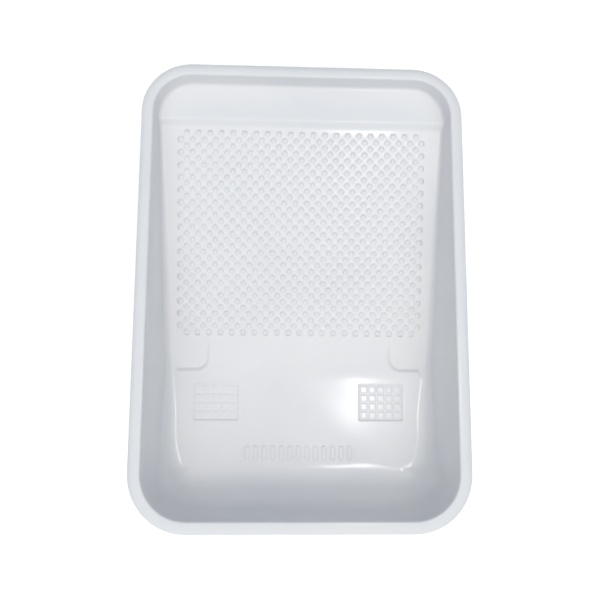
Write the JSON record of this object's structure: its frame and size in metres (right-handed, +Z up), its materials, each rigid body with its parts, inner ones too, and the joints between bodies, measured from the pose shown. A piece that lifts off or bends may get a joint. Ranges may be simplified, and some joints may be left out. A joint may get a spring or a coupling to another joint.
{
  "type": "paint roller tray",
  "caption": "Thin one-piece white plastic roller tray: flat turned-down rim, drafted walls, shallow shelf, sloping ramp and a deep well with sunken feet.",
  "frame": {"origin": "under the middle of the tray, on the plane of the undersides of the two feet in the well's floor", "axes": "+Z up, +Y towards the shallow back end, -Y towards the well, X across the tray"},
  "size_m": [0.273, 0.388, 0.065],
  "materials": {
    "white_sheet": "glossy white vacuum-formed sheet, slightly translucent"
  },
  "bodies": {
    "root": {"tray_shell": "white_sheet"}
  },
  "joints": []
}
